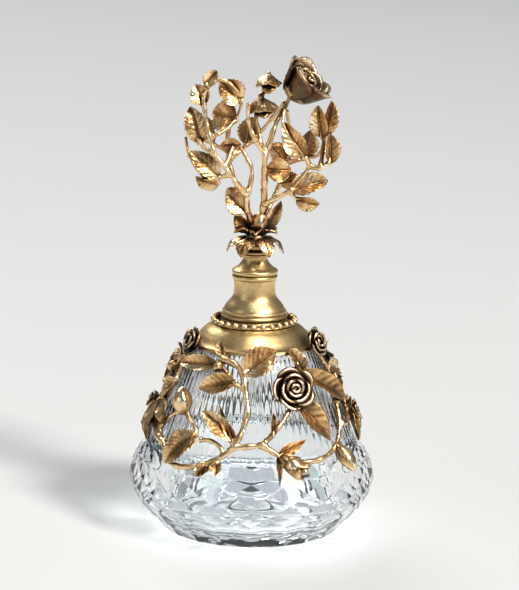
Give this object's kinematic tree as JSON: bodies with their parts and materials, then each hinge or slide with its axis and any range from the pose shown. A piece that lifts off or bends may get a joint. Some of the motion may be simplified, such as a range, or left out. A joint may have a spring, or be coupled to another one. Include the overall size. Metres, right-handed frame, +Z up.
{
  "type": "perfume bottle",
  "caption": "Clear faceted glass perfume bottle with a gilt filigree rose jacket and a lift-out dauber stopper under an open filigree finial.",
  "frame": {"origin": "middle of the base, on the surface the bottle stands on", "axes": "+Z up along the bottle's axis, the front half of the jacket faces -Y, +X to the right seen from the front"},
  "size_m": [0.095, 0.095, 0.1836],
  "materials": {
    "clear_glass": "pressed and cut, clear",
    "dauber_glass": "clear, fire polished",
    "gilt_cast": "antique gilt casting, worn on the high spots",
    "gilt_rose": "antique gilt, soft sheen",
    "gilt_sheet": "spun gilt sheet, brushed round",
    "stud_brass": "plain",
    "cement": "set cement",
    "sleeve": "translucent"
  },
  "bodies": {
    "bottle": {"glass_bottle": "clear_glass", "neck_cement": "cement", "shoulder_collar": "gilt_sheet", "beaded_ring": "gilt_sheet", "neck_ferrule": "gilt_sheet", "jacket_front": "gilt_cast", "jacket_back": "gilt_cast", "large_rose_front": "gilt_rose", "large_rose_back": "gilt_rose", "top_rose_1": "gilt_rose", "top_rose_2": "gilt_rose", "top_rose_3": "gilt_rose", "side_rose_1": "gilt_rose", "side_rose_2": "gilt_rose"},
    "sleeve": {"seal_sleeve": "sleeve"},
    "stopper": {"dauber": "dauber_glass", "stopper_pedestal": "gilt_sheet", "threaded_stud": "stud_brass", "calyx_cup": "gilt_sheet", "calyx_leaves": "gilt_cast", "finial_stem": "gilt_cast", "finial_left_spray": "gilt_cast", "finial_right_spray": "gilt_cast", "finial_back_spray": "gilt_cast", "finial_rose": "gilt_rose"}
  },
  "joints": [
    {"name": "stopper_lift", "type": "slide", "parent": "bottle", "child": "sleeve", "axis": [0, 0, 1], "range_m": [0, 0.075]},
    {"name": "stopper_turn", "type": "hinge", "parent": "sleeve", "child": "stopper", "pos_m": [0, 0, 0.09], "axis": [0, 0, 1], "continuous": true}
  ]
}
